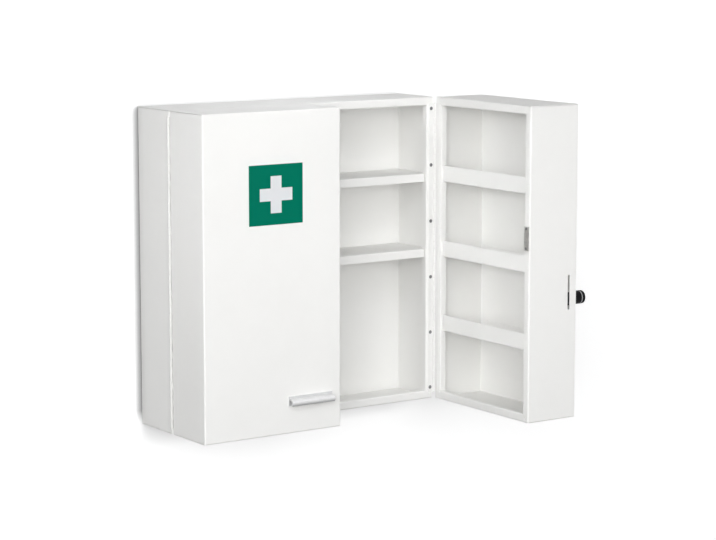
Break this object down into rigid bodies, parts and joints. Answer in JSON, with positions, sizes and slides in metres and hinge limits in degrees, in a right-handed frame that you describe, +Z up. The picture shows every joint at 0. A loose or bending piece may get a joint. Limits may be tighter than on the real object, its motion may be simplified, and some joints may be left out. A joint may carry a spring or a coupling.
{
  "type": "lockable medicine cabinet",
  "caption": "Wall-hung steel medicine cabinet with two deep box doors on full-height piano hinges, trays inside the doors, shelves in the case, a pull strip and a turn-knob lock.",
  "frame": {"origin": "centre of the four wall holes, on the rear face of the case, which is also the middle of the case's width and height", "axes": "+X to the right as seen from the front, +Z up, the cabinet stands out of the wall towards -Y"},
  "size_m": [0.6666, 0.3675, 0.53],
  "materials": {
    "coated_sheet": "smooth semi-gloss white powder coat on steel sheet",
    "coated_hinge": "white powder coat on rolled steel hinge",
    "rivet_steel": "dull steel",
    "zinc_steel": "bright zinc plate",
    "catch_plastic": "matt white plastic",
    "magnet": "sintered ferrite",
    "handle_aluminium": "satin anodised extrusion",
    "knob_plastic": "glossy black plastic",
    "lock_black": "black finish on die-cast zinc",
    "lock_zinc": "plain die-cast zinc",
    "plug_chrome": "bright chrome plate"
  },
  "bodies": {
    "case": {"case_wrap": "coated_sheet", "case_top": "coated_sheet", "case_bottom": "coated_sheet", "shelf_upper": "coated_sheet", "shelf_lower": "coated_sheet", "centre_post": "coated_sheet", "catch_housing_left": "catch_plastic", "catch_housing_right": "catch_plastic", "catch_magnets": "magnet", "catch_poles": "zinc_steel", "catch_screws": "zinc_steel", "case_leaf_left": "coated_hinge", "case_leaf_right": "coated_hinge", "hinge_rivets_left": "rivet_steel", "hinge_rivets_right": "rivet_steel", "hinge_pin_left": "zinc_steel", "hinge_pin_right": "zinc_steel"},
    "left_door": {"left_door_shell": "coated_sheet", "left_tray_upper": "coated_sheet", "left_tray_middle": "coated_sheet", "left_tray_lower": "coated_sheet", "door_leaf_left": "coated_hinge", "strike_plate_left": "zinc_steel", "strike_screws_left": "zinc_steel", "pull_handle": "handle_aluminium", "handle_screws": "zinc_steel"},
    "right_door": {"right_door_shell": "coated_sheet", "right_tray_upper": "coated_sheet", "right_tray_middle": "coated_sheet", "right_tray_lower": "coated_sheet", "door_leaf_right": "coated_hinge", "strike_plate_right": "zinc_steel", "strike_screws_right": "zinc_steel", "lock_housing": "lock_black", "lock_nut": "lock_black"},
    "knob": {"lock_knob": "knob_plastic", "lock_spindle": "lock_zinc", "lock_cam": "zinc_steel", "cam_screw": "zinc_steel"},
    "key_cylinder": {"key_plug": "plug_chrome"}
  },
  "joints": [
    {"name": "left_door_hinge", "type": "hinge", "parent": "case", "child": "left_door", "pos_m": [-0.2653, -0.1035, 0], "axis": [0, 0, 1], "range_deg": [-170, 0]},
    {"name": "right_door_hinge", "type": "hinge", "parent": "case", "child": "right_door", "pos_m": [0.2653, -0.1035, 0], "axis": [0, 0, 1], "range_deg": [-90, 80]},
    {"name": "knob_turn", "type": "hinge", "parent": "right_door", "child": "knob", "pos_m": [0.3678, -0.3443, -0.065], "axis": [1, 0, 0], "range_deg": [0, 90]},
    {"name": "key_turn", "type": "hinge", "parent": "knob", "child": "key_cylinder", "pos_m": [0.3678, -0.3443, -0.065], "axis": [1, 0, 0], "range_deg": [0, 90]}
  ]
}
